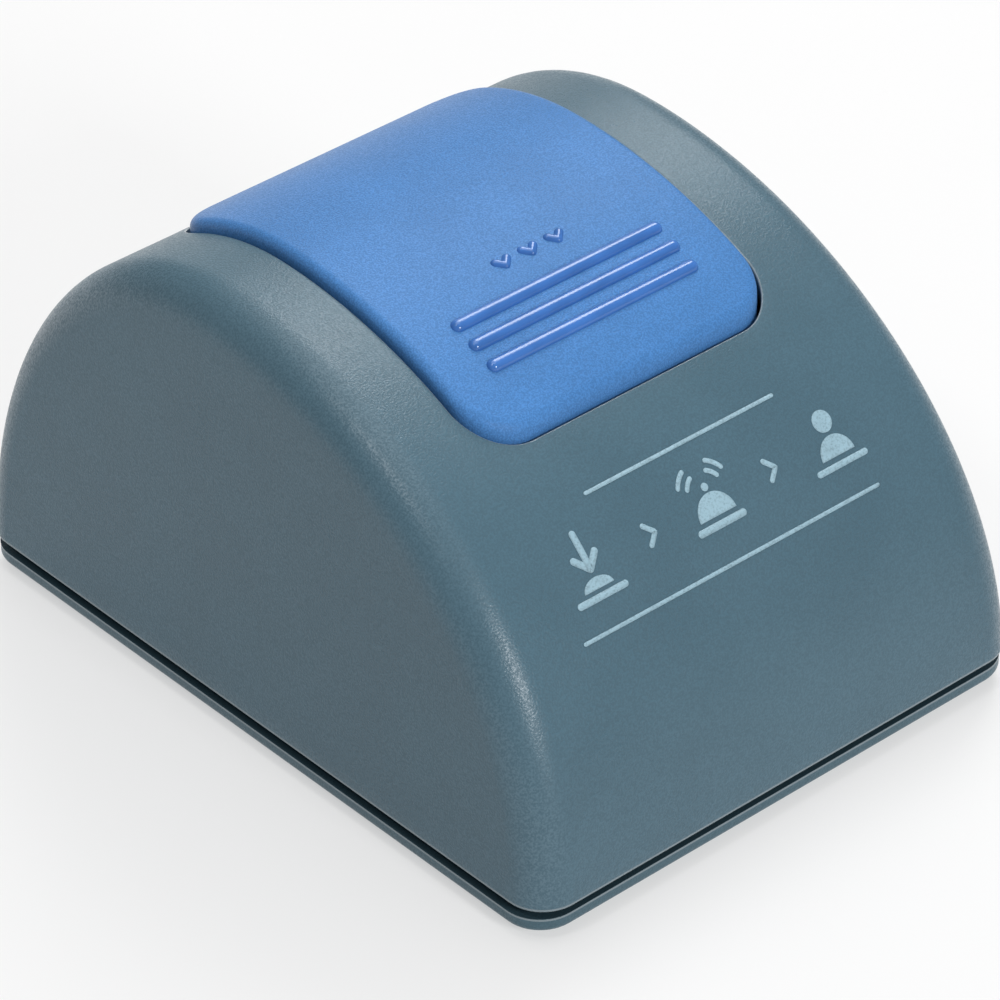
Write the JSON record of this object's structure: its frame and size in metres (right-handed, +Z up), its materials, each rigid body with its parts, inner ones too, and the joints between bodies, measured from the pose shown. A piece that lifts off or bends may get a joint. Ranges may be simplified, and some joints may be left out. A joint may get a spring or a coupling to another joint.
{
  "type": "reception chime",
  "caption": "Arched counter chime: a ribbed push plate hinged over the crest of a grey-blue case, on a flat base with rubber feet, sound slots and a battery cover.",
  "frame": {"origin": "middle of the case's footprint, on the surface that its feet stand on", "axes": "+Z up, -Y toward the customer, +X to the right as the customer's side is looked at"},
  "size_m": [0.08, 0.1084, 0.0612],
  "materials": {
    "shell": "fine spark-eroded grain",
    "plate": "fine spark-eroded grain",
    "rubber": "matte",
    "steel": "bright zinc",
    "spring_steel": "drawn wire",
    "contact": "nickel plated",
    "black_plastic": "moulded",
    "ivory_plastic": "moulded",
    "board": "solder resist",
    "chip": "moulded epoxy",
    "can": "sleeved can",
    "speaker_metal": "pressed sheet",
    "magnet": "ground ferrite",
    "paper": "pulp paper",
    "cloth": "woven dust cloth",
    "cell": "plain sleeve",
    "lead_red": "insulated wire",
    "lead_black": "insulated wire",
    "lead_white": "insulated wire"
  },
  "bodies": {
    "case": {"top_shell": "shell", "base_plate": "shell", "rubber_feet": "rubber", "base_screws": "steel", "hinge_pin": "steel", "return_springs": "spring_steel", "inner_bridge": "black_plastic", "bridge_screws": "steel", "circuit_board": "board", "board_screws": "steel", "switch_body": "black_plastic", "sound_chip": "chip", "capacitors": "can", "battery_socket": "ivory_plastic", "speaker_socket": "ivory_plastic", "speaker_frame": "speaker_metal", "speaker_cone": "paper", "speaker_magnet": "magnet", "dust_screen": "cloth", "speaker_ring": "black_plastic", "speaker_screws": "steel", "battery_holder": "black_plastic", "battery_cells": "cell", "link_contact": "contact", "end_contacts": "contact", "contact_springs": "spring_steel", "holder_screws": "steel", "positive_lead": "lead_red", "negative_lead": "lead_black", "speaker_leads": "lead_white"},
    "press_plate": {"push_button": "plate"},
    "plunger": {"switch_plunger": "ivory_plastic"},
    "battery_lid": {"battery_cover": "shell"}
  },
  "joints": [
    {"name": "plate_press", "type": "hinge", "parent": "case", "child": "press_plate", "pos_m": [0, 0.028, 0.0463], "axis": [1, 0, 0], "range_deg": [0, 2], "stiffness_Nm_per_rad": 2.5, "springref_deg": -1.72, "deforming": ["return_springs"]},
    {"name": "plunger_travel", "type": "slide", "parent": "case", "child": "plunger", "axis": [0, 0, -1], "range_m": [0, 0.00116]},
    {"name": "cover_swing", "type": "hinge", "parent": "case", "child": "battery_lid", "pos_m": [0, 0.00805, 0.0012], "axis": [-1, 0, 0], "range_deg": [0, 45]}
  ],
  "couplings": [
    {"joint": "plunger_travel", "follows": "plate_press", "m_per_rad": 0.033}
  ]
}
